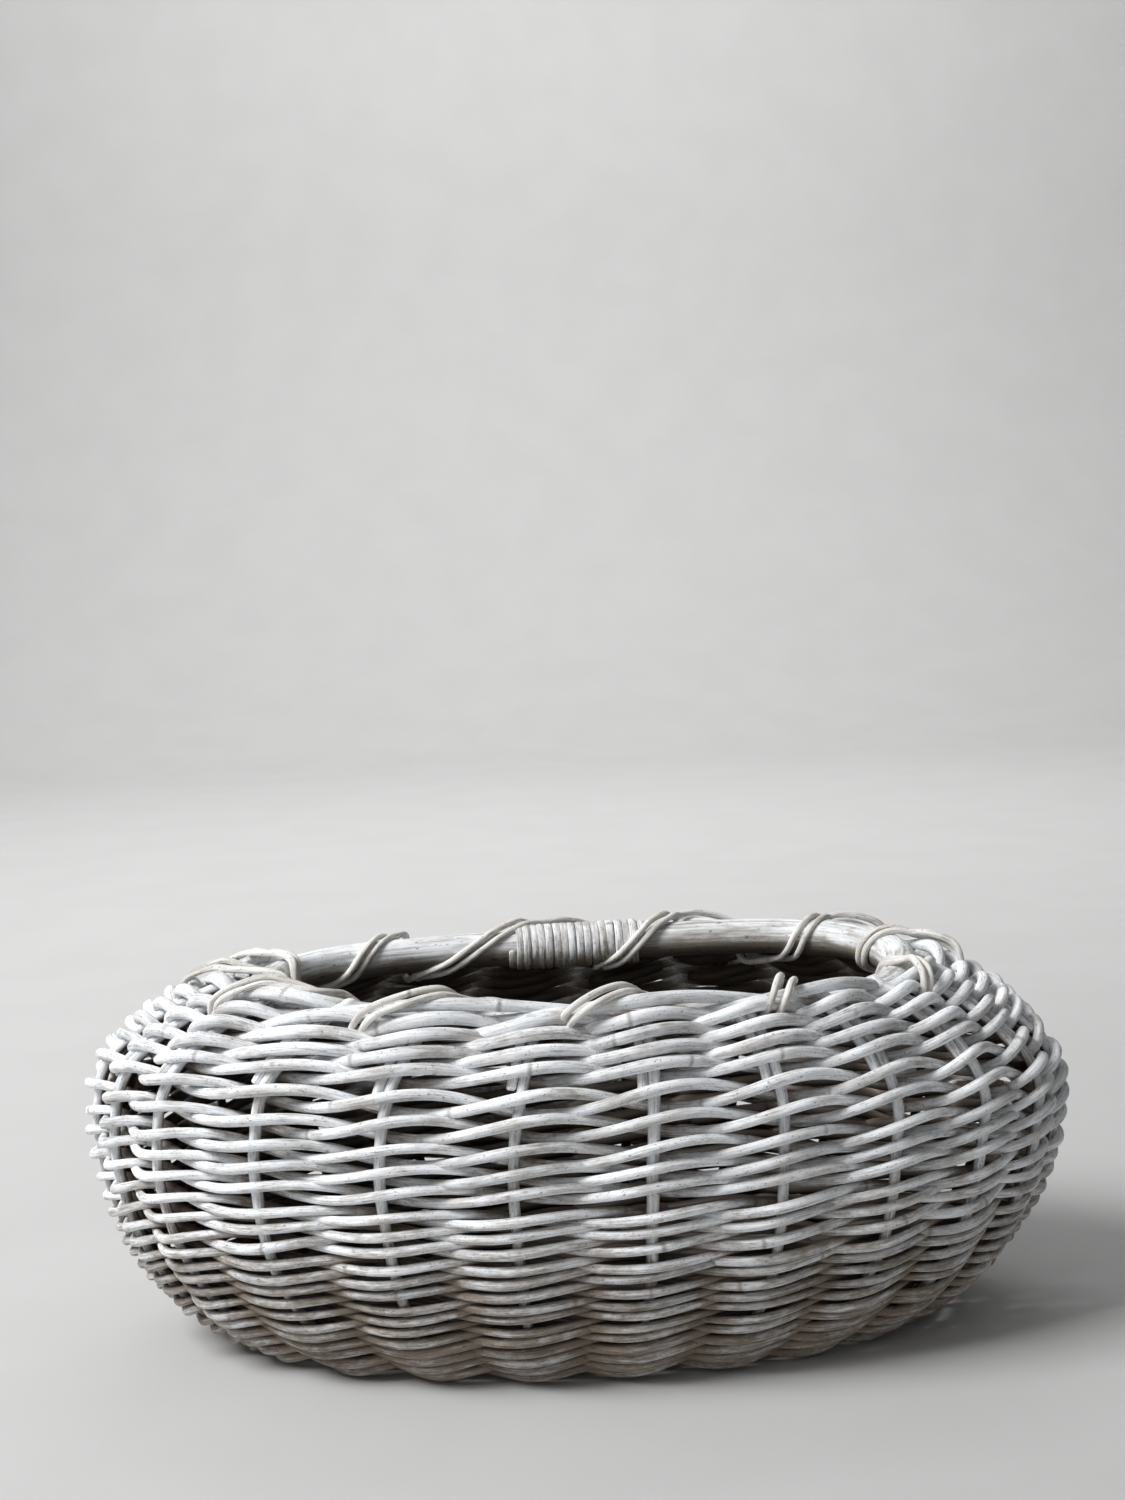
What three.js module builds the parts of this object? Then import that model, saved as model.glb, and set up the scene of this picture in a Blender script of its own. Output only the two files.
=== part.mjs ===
// Oval rattan table basket: bent frame canes, twined weavers, pole hoop, lashing and binding.
// Millimetres, +Z up, the long axis along X, the base on z = 0.
import * as THREE from 'three';

// Driving dimensions, measured over the outside of the weave.
const bellyLength = 480;
const bellyWidth = 222;
const bellyHeight = 115;
const rimLength = 356;
const rimWidth = 172;
const rimHeight = 183;
const baseLength = 334;
const baseWidth = 155;
const baseTurn = 60;
const shoulderTurn = 50;

// Cane sizes.
const stakeDiameter = 4.8;
const weaverDiameter = 4.0;
const baseCaneDiameter = 4.2;
const hoopDiameter = 18.5;
const lashingDiameter = 3.0;
const bindingWidth = 3.6;
const bindingThickness = 2.4;

// Patterns and fits.
const framePairs = 12;
const turnsPerCane = 4;
const borderTurns = 2;
const bindingTurns = 17;
const bindingGap = 0.8;
const baseCanePitch = 10;
const baseSpread = 0.8;
const scarfLength = 56;
const hoopRise = 1;
const hoopGap = 2.1;
const clearance = 0.3;
const weaveEase = 0.3;

// Facets, and the finish colours.
const caneSides = 5;
const hoopSides = 8;
const hoopSteps = 48;
const stakeSteps = 11;
const bindingSteps = 9;
const finish = {
  weaver: { color: 0xb9b2a6, roughness: 0.75 },
  border: { color: 0xc6c0b5, roughness: 0.75 },
  frame: { color: 0xa89f92, roughness: 0.8 },
  base: { color: 0xa0968a, roughness: 0.85 },
  hoop: { color: 0xb3aba0, roughness: 0.7 },
  binding: { color: 0xb7b0a6, roughness: 0.7 },
  lashing: { color: 0xc2bbb0, roughness: 0.7 },
};

// Sizes that follow from the ones above.
const stakeCount = framePairs * 2;
const weaverR = weaverDiameter / 2;
const stakeR = stakeDiameter / 2;
const hoopR = hoopDiameter / 2;
const lashingR = lashingDiameter / 2;
const wallHalf = stakeR + clearance + weaveEase + weaverDiameter;
const level = (length, width, z) => ({ a: length / 2 - wallHalf, b: width / 2 - wallHalf, z });
const base = level(baseLength, baseWidth, baseCaneDiameter + clearance + stakeR);
const belly = level(bellyLength, bellyWidth, bellyHeight);
const rim = level(rimLength, rimWidth, rimHeight - wallHalf);
const hoopInset = stakeR + weaverDiameter + hoopR + hoopGap;
const hoop = { a: rim.a - hoopInset, b: rim.b - hoopInset, z: rimHeight + hoopRise - hoopR };
const bindingLength = bindingTurns * (bindingWidth + bindingGap);
const bindingReach = hoopR + 2 * clearance + bindingThickness;
const baseTurnRad = THREE.MathUtils.degToRad(baseTurn);
const shoulderTurnRad = THREE.MathUtils.degToRad(shoulderTurn);
const V = (x, y, z) => new THREE.Vector3(x, y, z);

// The wall's middle surface: two elliptic arcs that meet upright at the belly.
// q runs from -1 at the base to 1 at the rim.
function wallPoint(theta, q) {
  const end = q < 0 ? base : rim;
  const turn = q < 0 ? baseTurnRad : shoulderTurnRad;
  const w = (1 - Math.cos(q * turn)) / (1 - Math.cos(turn));
  const h = Math.sin(Math.abs(q) * turn) / Math.sin(turn);
  const a = belly.a + (end.a - belly.a) * w;
  const b = belly.b + (end.b - belly.b) * w;
  return V(a * Math.cos(theta), b * Math.sin(theta), belly.z + (end.z - belly.z) * h);
}

// Unit directions on the wall: along the row, up the wall and out of it.
function wallFrame(theta, q) {
  const e = 1e-3;
  const along = wallPoint(theta + e, q).sub(wallPoint(theta - e, q)).normalize();
  const up = wallPoint(theta, Math.min(1, q + e)).sub(wallPoint(theta, Math.max(-1, q - e))).normalize();
  const out = new THREE.Vector3().crossVectors(along, up).normalize();
  return { along, up, out };
}

// Arc length up the wall at the middle of a long side, where the wall is shortest.
const SAMPLES = 400;
const arc = [0];
for (let i = 1; i <= SAMPLES; i++) {
  const q0 = -1 + (2 * (i - 1)) / SAMPLES;
  const q1 = -1 + (2 * i) / SAMPLES;
  arc.push(arc[i - 1] + wallPoint(Math.PI / 2, q1).distanceTo(wallPoint(Math.PI / 2, q0)));
}
const wallLength = arc[SAMPLES];
function qAt(s) {
  let i = arc.findIndex((v) => v >= s);
  if (i < 0) i = SAMPLES;
  if (i === 0) return -1;
  const t = Math.min(1, (s - arc[i - 1]) / (arc[i] - arc[i - 1]));
  return -1 + (2 * (i - 1 + t)) / SAMPLES;
}
function turnPerLength(s) {
  const step = 1.5;
  const d = (v) => wallFrame(Math.PI / 2, qAt(Math.min(wallLength, Math.max(0, v)))).up;
  return d(s - step).angleTo(d(s + step)) / (2 * step);
}

// Closed tube through rings of equal size, turned outside out, with flat ends.
function tube(rings) {
  const k = rings[0].length;
  const pos = rings.flat().flatMap((p) => [p.x, p.y, p.z]);
  const tri = [];
  for (let i = 0; i + 1 < rings.length; i++) {
    for (let j = 0; j < k; j++) {
      const a = i * k + j;
      const b = i * k + ((j + 1) % k);
      tri.push(a, b, b + k, a, b + k, a + k);
    }
  }
  const last = (rings.length - 1) * k;
  for (let j = 1; j + 1 < k; j++) tri.push(0, j + 1, j, last, last + j, last + j + 1);
  let volume = 0;
  const p = (i) => V(pos[3 * i], pos[3 * i + 1], pos[3 * i + 2]);
  for (let t = 0; t < tri.length; t += 3) {
    volume += p(tri[t]).dot(p(tri[t + 1]).cross(p(tri[t + 2])));
  }
  if (volume < 0) tri.reverse();
  const g = new THREE.BufferGeometry();
  g.setAttribute('position', new THREE.Float32BufferAttribute(pos, 3));
  g.setIndex(tri);
  g.computeVertexNormals();
  return g;
}
const ring = (c, u, v, r, k, start) => Array.from({ length: k }, (_, j) => {
  const t = start + (2 * Math.PI * j) / k;
  return c.clone().addScaledVector(u, r * Math.cos(t)).addScaledVector(v, r * Math.sin(t));
});

// Round cane through points, its section carried along without twist.
function cane(points, r, sides) {
  let side = null;
  const rings = points.map((p, i) => {
    const next = points[Math.min(points.length - 1, i + 1)];
    const dir = next.clone().sub(points[Math.max(0, i - 1)]).normalize();
    if (!side) side = Math.abs(dir.z) < 0.8 ? V(0, 0, 1) : V(1, 0, 0);
    side = side.clone().addScaledVector(dir, -side.dot(dir)).normalize();
    return ring(p, side, dir.clone().cross(side), r, sides, Math.PI / sides);
  });
  return tube(rings);
}

// Least distance between parts of one path that lie more than skip points apart.
function leastGap(points, skip, thickness) {
  const parts = 4;
  let least = Infinity;
  const fine = [];
  for (let i = 0; i + 1 < points.length; i++) {
    for (let t = 0; t < parts; t++) fine.push(points[i].clone().lerp(points[i + 1], t / parts));
  }
  for (let i = 0; i < fine.length; i++) {
    for (let j = i + skip * parts; j < fine.length; j++) {
      least = Math.min(least, fine[i].distanceTo(fine[j]));
    }
  }
  return least - thickness;
}

const basket = new THREE.Group();
basket.name = 'rattan_oval_basket';
function add(name, geometry, look) {
  const mesh = new THREE.Mesh(geometry, new THREE.MeshStandardMaterial(look));
  mesh.name = name;
  basket.add(mesh);
}
const two = (n) => String(n).padStart(2, '0');

// Rows of weavers: places up the wall, wide enough apart for the inner side of the bend.
const stakeAngle = (i) => ((i + 0.5) * 2 * Math.PI) / stakeCount;
const reach = stakeR + weaverR + clearance + weaveEase;
const sharpestBend = 0.6;
const places = [];
for (let s = reach + clearance; s < wallLength;) {
  places.push(s);
  s += (weaverDiameter + clearance) / (1 - Math.min(sharpestBend, reach * turnPerLength(s)));
}
const borderPlaces = borderTurns * 2;
const slotPlace = places.length - borderPlaces - 1;
const mainTurns = Math.floor(slotPlace / 2);
const mainPlaces = places.slice(slotPlace - mainTurns * 2, slotPlace);
const rowsAbove = places.slice(slotPlace + 1);
const slotHeight = places[slotPlace];
const topRow = places[places.length - 1];

// How far a weaver stands off the wall's middle where it passes a stake.
function standOff(theta, q) {
  const half = Math.PI / stakeCount;
  const space = wallPoint(theta + half, q).distanceTo(wallPoint(theta - half, q));
  const rounds = 12;
  let off = reach;
  for (let n = 0; n < rounds; n++) off = reach - stakeR + stakeR * Math.hypot(1, (2 * off) / space);
  return off;
}
function weaverCentre(turnStake, place, family) {
  const q = qAt(place);
  const theta = stakeAngle(turnStake);
  const sign = (turnStake + family) % 2 === 0 ? 1 : -1;
  return { theta, q, off: sign * standOff(theta, q), place };
}

// One weaver: level turns that step up one row in the space at the middle of the back.
// An end stops free in its space, or short of the next cane's end, as a share of the space.
const freeEnd = 0.3;
const jointEnd = 0.48;
function weaver(rows, family, joinsBefore, joinsAfter) {
  const first = framePairs / 2;
  const stops = [];
  rows.forEach((place) => {
    for (let i = 0; i < stakeCount; i++) stops.push(weaverCentre(first + i, place, family));
  });
  const ends = (from, to, t) => ({
    theta: from.theta + (to.theta - from.theta) * t,
    q: qAt(from.place + (to.place - from.place) * t),
    off: from.off + (to.off - from.off) * t,
  });
  const before = weaverCentre(first - 1, joinsBefore ?? rows[0], family);
  const after = weaverCentre(first + stakeCount, joinsAfter ?? rows[rows.length - 1], family);
  const path = [
    ends(before, stops[0], 1 - (joinsBefore === undefined ? freeEnd : jointEnd)),
    ...stops,
    ends(stops[stops.length - 1], after, joinsAfter === undefined ? freeEnd : jointEnd),
  ];
  return tube(path.map((s) => {
    const f = wallFrame(s.theta, s.q);
    const centre = wallPoint(s.theta, s.q).addScaledVector(f.out, s.off);
    return ring(centre, f.out, f.up, weaverR, caneSides, Math.PI / 2);
  }));
}
['a', 'b'].forEach((letter, family) => {
  const rows = mainPlaces.filter((_, i) => i % 2 === family);
  for (let start = 0, n = 1; start < rows.length; start += turnsPerCane, n++) {
    const own = rows.slice(start, start + turnsPerCane);
    const shape = weaver(own, family, rows[start - 1], rows[start + turnsPerCane]);
    add(`wall_weaver_${letter}${n}`, shape, finish.weaver);
  }
  const top = rowsAbove.filter((_, i) => i % 2 === family);
  add(`border_weaver_${letter}`, weaver(top, family), finish.border);
});

// The hoop's centre line and its section directions.
const hoopPoint = (theta) => V(hoop.a * Math.cos(theta), hoop.b * Math.sin(theta), hoop.z);
const hoopOut = (theta) => V(hoop.b * Math.cos(theta), hoop.a * Math.sin(theta), 0).normalize();
const hoopSpeed = (theta) => Math.hypot(hoop.a * Math.sin(theta), hoop.b * Math.cos(theta));
function nearestOnHoop(p) {
  const rounds = 30;
  const damping = 1.4;
  let theta = Math.atan2(p.y / hoop.b, p.x / hoop.a);
  for (let n = 0; n < rounds; n++) {
    const out = hoopOut(theta);
    const along = V(-out.y, out.x, 0);
    theta += p.clone().sub(hoopPoint(theta)).dot(along) / (hoopSpeed(theta) * damping);
  }
  return theta;
}
function inBinding(theta, margin) {
  return Math.sin(theta) > 0 && Math.abs(hoop.a * Math.cos(theta)) < bindingLength / 2 + margin;
}

// Frame canes: up one side, across the base and up the other side, each end turned in to the hoop.
const tipRise = reach + 0.4 * stakeR;
function stakePoints(theta) {
  const points = [];
  for (let i = 0; i <= stakeSteps; i++) points.push(wallPoint(theta, qAt((topRow * i) / stakeSteps)));
  const f = wallFrame(theta, qAt(topRow));
  const bend = wallPoint(theta, qAt(topRow)).addScaledVector(f.up, tipRise);
  points.push(bend);
  const at = nearestOnHoop(bend);
  const seat = (inBinding(at, stakeDiameter) ? bindingReach : hoopR) + clearance;
  const axis = hoopPoint(at);
  points.push(axis.clone().addScaledVector(bend.clone().sub(axis).normalize(), seat));
  return points;
}
for (let i = 0; i < framePairs; i++) {
  const theta = stakeAngle(i);
  const route = [...stakePoints(theta).reverse(), ...stakePoints(-theta)];
  add(`frame_cane_${two(i + 1)}`, cane(route, stakeR, caneSides), finish.frame);
}

// Base canes: woven lengthwise over and under the frame canes, flat underneath.
// They spread over a share of the base's width, so the outermost still cross several frame canes.
const frameX = Array.from({ length: framePairs }, (_, i) => base.a * Math.cos(stakeAngle(i))).reverse();
const baseHalf = baseCaneDiameter / 2;
const baseReach = baseHalf + stakeR + clearance;
const baseFlat = stakeR + clearance;
const baseRoom = { a: base.a - reach, b: base.b - 2 * reach };
const baseSide = Math.max(1, Math.round((baseSpread * baseRoom.b) / baseCanePitch));
const baseStep = (baseSpread * baseRoom.b) / baseSide;
const baseSection = (x, y, z) => [
  V(x, y - baseHalf, z - baseHalf),
  V(x, y + baseHalf, z - baseHalf),
  V(x, y + baseHalf, z + baseHalf),
  V(x, y - baseHalf, z + baseHalf),
];
for (let j = -baseSide; j <= baseSide; j++) {
  const y = j * baseStep;
  const half = baseRoom.a * Math.sqrt(1 - (y / baseRoom.b) ** 2);
  const crossed = frameX.map((x, i) => ({ x, i })).filter((c) => Math.abs(c.x) < half - stakeDiameter);
  const rings = [];
  crossed.forEach((c, m) => {
    const under = (c.i + j + 2 * baseSide) % 2 === 0;
    const z = base.z + (under ? -baseReach : baseReach);
    const left = baseFlat + (m === 0 ? stakeR : 0);
    const right = baseFlat + (m === crossed.length - 1 ? stakeR : 0);
    rings.push(baseSection(c.x - left, y, z), baseSection(c.x + right, y, z));
  });
  add(`base_cane_${two(j + baseSide + 1)}`, tube(rings), finish.base);
}

// Rim hoop: one bent pole whose slanted ends meet in a scarf at the middle of the back.
const scarfGap = 2 * clearance * (scarfLength / hoopDiameter);
const slant = (j) => (scarfLength / 2) * Math.sin((2 * Math.PI * (j + 0.5)) / hoopSides);
const hoopRings = [];
for (let i = 0; i <= hoopSteps; i++) {
  const gap = scarfGap / hoopSpeed(Math.PI / 2);
  const theta = Math.PI / 2 + gap / 2 + ((2 * Math.PI - gap) * i) / hoopSteps;
  hoopRings.push(Array.from({ length: hoopSides }, (_, j) => {
    const t = (2 * Math.PI * (j + 0.5)) / hoopSides;
    const own = theta + slant(j) / hoopSpeed(Math.PI / 2);
    return hoopPoint(own)
      .addScaledVector(hoopOut(own), hoopR * Math.cos(t))
      .add(V(0, 0, hoopR * Math.sin(t)));
  }));
}
add('rim_hoop', tube(hoopRings), finish.hoop);

// Scarf binding: one flat cane wound closely over the scarf.
const bindingR = (hoopR + clearance) / Math.cos(Math.PI / bindingSteps) + bindingThickness / 2;
const bindingPath = [];
const bindingRings = [];
for (let i = 0; i <= bindingTurns * bindingSteps; i++) {
  const turn = i / bindingSteps;
  const along = -bindingLength / 2 + turn * (bindingWidth + bindingGap);
  const theta = Math.PI / 2 - along / hoopSpeed(Math.PI / 2);
  const out = hoopOut(theta);
  const axis = V(out.y, -out.x, 0);
  const t = 2 * Math.PI * turn + Math.PI;
  const radial = out.clone().multiplyScalar(Math.cos(t)).add(V(0, 0, Math.sin(t)));
  const c = hoopPoint(theta).addScaledVector(radial, bindingR);
  bindingPath.push(c);
  bindingRings.push([[-1, -1], [1, -1], [1, 1], [-1, 1]].map(([u, v]) => c.clone()
    .addScaledVector(axis, (u * bindingWidth) / 2).addScaledVector(radial, (v * bindingThickness) / 2)));
}
add('scarf_binding', tube(bindingRings), finish.binding);
const bindingLeast = leastGap(bindingPath, Math.ceil(bindingSteps / 2), bindingWidth);
console.log(`scarf_binding: ${bindingTurns} turns, least gap to itself ${bindingLeast.toFixed(2)} mm`);

// Rim lashing: a pair of thin canes, each wound round hoop and border in one open spiral.
// A wrap takes two spaces between stakes, and each stop is a share of it.
// The stops on the hoop start on its top and lie an eighth of a turn apart.
const wraps = stakeCount / 2;
const pairSpace = 2 * lashingDiameter;
const outsideStops = { slot: 0.03, top: 0.2, over: 0.3 };
const overHoop = 0.35;
const hoopStops = [0.48, 0.62, 0.76, 0.9, 1];
const hoopTop = Math.PI / 2;
const eighth = Math.PI / 4;
const bindingSwell = 0.4 * bindingThickness;
function lashingPath(shift) {
  const path = [];
  const spaceAngle = (2 * Math.PI) / stakeCount;
  const lift = lashingR + clearance;
  const outside = (theta, s) => {
    const q = qAt(s);
    const f = wallFrame(theta, q);
    const off = standOff(theta, q) + weaverR + lift + 2 * weaveEase;
    return wallPoint(theta, q).addScaledVector(f.out, off);
  };
  const roundHoop = (theta, angle) => {
    const core = inBinding(theta, pairSpace) ? bindingReach + bindingSwell : hoopR;
    const r = (core + lift) / Math.cos(eighth / 2);
    return hoopPoint(theta)
      .addScaledVector(hoopOut(theta), r * Math.cos(angle))
      .add(V(0, 0, r * Math.sin(angle)));
  };
  for (let w = 0; w < wraps; w++) {
    const hole = (2 * w + 2) * spaceAngle - Math.PI / 2;
    const at = (t) => {
      const theta = hole + t * 2 * spaceAngle;
      return theta + shift / hoopSpeed(theta);
    };
    const q = qAt(slotHeight);
    const over = at(outsideStops.over);
    path.push(wallPoint(at(0), q).addScaledVector(wallFrame(at(0), q).out, -reach));
    path.push(outside(at(outsideStops.slot), slotHeight));
    path.push(outside(at(outsideStops.top), topRow));
    path.push(outside(over, topRow).lerp(roundHoop(over, hoopTop), overHoop).add(V(0, 0, 2 * lift)));
    hoopStops.forEach((share, n) => path.push(roundHoop(at(share), hoopTop + n * eighth)));
  }
  return path;
}
['a', 'b'].forEach((letter, i) => {
  const path = lashingPath((i - 0.5) * pairSpace);
  add(`rim_lashing_${letter}`, cane(path, lashingR, caneSides), finish.lashing);
  const least = leastGap(path, hoopStops.length - 1, lashingDiameter);
  console.log(`rim_lashing_${letter}: ${wraps} turns, least gap to itself ${least.toFixed(2)} mm`);
});

export default basket;
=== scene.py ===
import math

import bpy
import numpy as np
from bpy.props import FloatProperty, FloatVectorProperty, IntProperty, PointerProperty
from mathutils import Matrix, Vector


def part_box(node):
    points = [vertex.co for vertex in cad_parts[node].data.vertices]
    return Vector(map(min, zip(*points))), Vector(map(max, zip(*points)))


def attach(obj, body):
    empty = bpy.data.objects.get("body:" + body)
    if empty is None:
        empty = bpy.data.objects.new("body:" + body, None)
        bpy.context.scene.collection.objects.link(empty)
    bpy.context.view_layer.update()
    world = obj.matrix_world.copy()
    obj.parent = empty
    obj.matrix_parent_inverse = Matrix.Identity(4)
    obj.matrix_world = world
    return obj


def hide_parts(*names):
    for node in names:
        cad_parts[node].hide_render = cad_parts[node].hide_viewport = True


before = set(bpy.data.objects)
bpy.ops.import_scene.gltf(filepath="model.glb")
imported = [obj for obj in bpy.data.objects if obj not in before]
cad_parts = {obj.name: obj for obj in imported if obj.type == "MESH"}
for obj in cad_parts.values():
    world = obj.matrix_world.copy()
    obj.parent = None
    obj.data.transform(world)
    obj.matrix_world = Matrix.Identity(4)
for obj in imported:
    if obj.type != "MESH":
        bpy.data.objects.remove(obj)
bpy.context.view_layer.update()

bl_info = {
    "name": "Rattan Table Basket",
    "version": (1, 0, 0),
    "blender": (4, 5, 0),
    "location": "View3D > Sidebar > Basket",
    "description": "Builds an oval twined rattan basket with a lashed pole hoop",
    "category": "Add Mesh",
}

MM = 0.001
TURN = 2 * math.pi
FRAME_CANES = sorted(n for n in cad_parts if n.startswith("frame_cane"))
BASE_CANES = sorted(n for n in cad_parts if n.startswith("base_cane"))
STAKES = 2 * len(FRAME_CANES)
FIRST_STAKE = 4
STEPS_PER_STAKE = 14
WEAVER_SIDES, CANE_SIDES, BINDING_SIDES, HOOP_SIDES = 12, 10, 14, 36
WEAVER_RINGS = 0.115
BACK = math.pi / 2
BASE_LIFT = 0.9 * MM
FIRST_ROW = 2.5 * MM
TOP_ROW = 1.0 * MM
STAKE_OUT = 1.3 * MM
LINER_FOOT = 143 * MM
# Ways in from the base ring
LANES_IN, LANE_ENDS_IN, RING_IN = 6 * MM, 5 * MM, 2.5 * MM
RING_RADIUS = 2.6 * MM
# Way between rows in millimetres: at the base, what the belly adds and what the rim takes off
PITCH_BASE, PITCH_BELLY, PITCH_RIM = 5.6, 5.1, 4.2
PITCH_BELLY_AT, PITCH_RIM_AT = (35 * MM, 125 * MM), (146 * MM, 157 * MM)
# Lengths up the wall between which one part of it passes over into the next
FOOT_TO_WALL = (14 * MM, 34 * MM)
LOW_TO_HIGH = (30 * MM, 110 * MM)
LOW_TO_BELLY = (72 * MM, 105 * MM)
BELLY_TO_SHOULDER = (140 * MM, 172 * MM)
# Shares by which weavers are thicker in some places
FOOT_FULLER, BACK_FULLER, TOP_FULLER, RING_FULLER = 0.36, 0.34, 0.08, 0.09
# How far a weaver wanders up and down, in millimetres
WANDER_SHARED, WANDER_OWN, WANDER_ROWS = 2.2, 1.2, 0.8
# Height of the handmade rim over its level: degrees round the basket and millimetres
RIM_SAG = (
    (-180, 0.0), (-130, 0.0), (-90, 0.0), (-60, -0.8), (-30, -2.8), (0, -5.0), (45, -1.5),
    (75, 0.0), (110, -4.0), (145, -3.0))
# Each wrap of the lashing: its slot's shift in degrees, how far it leans along the rim, how far
# it falls along the hoop, how loose it lies and how far its two canes stand apart
LASHING_WRAPS = (
    (-4.6, 0.60, 0.02, 0.0, 1.65), (-3.0, 0.80, 0.50, 1.0, 1.2), (3.0, 1.00, 0.32, 1.4, 1.2),
    (2.5, 1.00, 0.26, 1.0, 1.5), (2.8, 1.00, 0.42, 1.0, 1.25), (-4.0, 1.00, 0.63, 1.0, 1.25),
    (-1.8, 0.60, 0.45, 0.4, 1.25), (9.0, 0.20, 0.30, 4.0, 1.1), (-3.0, 0.90, 0.50, 2.2, 1.2),
    (1.0, 0.62, 0.50, 2.0, 1.2), (-1.7, 0.95, 0.50, 1.2, 1.2), (-4.0, 0.92, 0.50, 1.1, 1.2))
# Degrees round the hoop at which each wrap touches it
HOOP_STOPS = (80, 125, 170, 215, 270)
KEY_PLACE = (-1.6, -0.7, 2.0)
KEY_TARGET = (0, 0, 0.1)
BACKDROP_PLACE = (0, 1.2, 2.6)
BACKDROP_TARGET = (0, 3.6, 1.2)


def setting(kind, **more):
    """A short call that makes settings of one kind; more holds their unit, subtype or limits."""
    def make(name, description, default):
        return kind(name=name, description=description, default=default, **more)
    return make


metres = setting(FloatProperty, unit="LENGTH")
radians = setting(FloatProperty, subtype="ANGLE")
watts = setting(FloatProperty, unit="POWER")
amount = setting(FloatProperty)
whole = setting(IntProperty)
colour = setting(FloatVectorProperty, subtype="COLOR", min=0, max=1)


class BasketShape(bpy.types.PropertyGroup):
    """Sizes of the wall, measured over the outside of the weave"""
    belly_length: metres("Belly length", "Length at the widest height", 0.4835)
    belly_width: metres("Belly width", "Width at the widest height", 0.2216)
    belly_height: metres("Belly height", "Height of the widest place", 0.115)
    rim_length: metres("Rim length", "Length over the top row", 0.356)
    rim_width: metres("Rim width", "Width over the top row", 0.1726)
    rim_height: metres("Rim height", "Height of the top row's upper side", 0.183)
    base_length: metres("Base length", "Length of the ring where the wall starts", 0.3346)
    base_width: metres("Base width", "Width of the ring where the wall starts", 0.155)
    base_turn: radians("Base turn", "How far the wall leans in at the base", 1.279)
    shoulder_turn: radians("Shoulder turn", "How far the wall leans in at the rim", 0.868)
    rim_drift: metres("Rim drift", "How far the handmade rim has moved along the length", 0.007)
    rows: whole("Rows", "Turns of the twined pair from base to rim", 24)
    border_rows: whole("Border rows", "Turns above the slots of the lashing", 2)


class CaneSizes(bpy.types.PropertyGroup):
    """Diameters of the canes and the pole"""
    stake: metres("Frame cane", "Diameter of the upright canes", 0.0053)
    liner: metres("Liner cane", "Diameter of the short canes beside the uprights", 0.0047)
    weaver_low: metres("Low weaver", "Diameter of the weavers near the base", 0.0041)
    weaver_high: metres("High weaver", "Diameter of the weavers on the shoulder", 0.0060)
    base: metres("Base cane", "Diameter of the canes in the bottom", 0.0042)
    hoop: metres("Hoop pole", "Diameter of the bent pole inside the rim", 0.0185)
    lashing: metres("Lashing cane", "Diameter of the thin pair round the rim", 0.0034)
    binding_width: metres("Binding width", "Width of the flat cane over the scarf", 0.0041)
    binding_thickness: metres(
        "Binding thickness", "Thickness of the flat cane over the scarf", 0.0018)
    binding_turns: whole("Binding turns", "Turns of the flat cane over the scarf", 17)


class Finish(bpy.types.PropertyGroup):
    """Colours of the weathered cane, of its painted shade and of the floor"""
    wash: colour("Wash", "Pale worn wash on the canes", (0.845, 0.87, 0.895))
    bare: colour("Bare cane", "Cane where the wash has worn off", (0.32, 0.262, 0.205))
    # Near-black painted shade for inner sides, undersides and gaps; growth rings are also tinted
    # part way to it.
    shade_colour: colour("Painted shade", "Painted shade inside and in the gaps", (0.024, 0.018, 0.014))
    pole_bare: colour("Bare pole", "Pole where the wash has worn off", (0.30, 0.265, 0.225))
    lashing: colour("Lashing", "Wash on the thin lashing canes", (0.79, 0.78, 0.75))
    floor: colour("Floor", "Plain floor under the basket", (0.53, 0.53, 0.527))


class StageSettings(bpy.types.PropertyGroup):
    """Camera and light"""
    distance: metres("Distance", "Camera's way from the basket's middle over the floor", 0.9042)
    height: metres("Height", "Camera's height over the floor", 0.3742)
    pitch: radians("Pitch", "How far the camera looks down", 0.0988)
    yaw: radians("Yaw", "How far the basket is turned to the camera", 0.0196)
    roll: radians("Roll", "How far the camera is tipped sideways", 0.0373)
    lens: amount("Lens", "Focal length in millimetres on a 36 mm long side", 44.89)
    key_power: watts("Key light", "Power of the large soft light", 72.5)
    key_size: metres("Key size", "Side of the large soft light", 1.1)
    fill: amount("Fill", "Strength of the light from above, most from the key's side", 0.41)
    backdrop_power: watts("Backdrop light", "Power of the light on the backdrop", 75.0)
    backdrop_size: metres("Backdrop size", "Side of the light on the backdrop", 1.6)


def unit(v):
    """Vectors along the last axis, made one long."""
    return v / np.linalg.norm(v, axis=-1, keepdims=True)


def smoothstep(low, high, x):
    """0 below low, 1 above high and a smooth rise between."""
    t = np.clip((x - low) / (high - low), 0, 1)
    return t * t * (3 - 2 * t)


def waves(x, lengths, seed):
    """A soft irregular curve from -1 to 1: sines of the given lengths with seeded starts."""
    starts = np.random.default_rng(seed).uniform(0, TURN, len(lengths))
    parts = [np.sin(TURN * x / length + start) for length, start in zip(lengths, starts)]
    return sum(parts) / len(parts)


def rim_sag(theta):
    """Height of the rim over its level at angle theta, eased from one listed place to the next."""
    angles, sags = np.array(RIM_SAG).T
    near = [np.interp(np.degrees(theta) + d, angles, sags, period=360) for d in (-10, 0, 10)]
    return sum(near) / len(near) * MM


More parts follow.
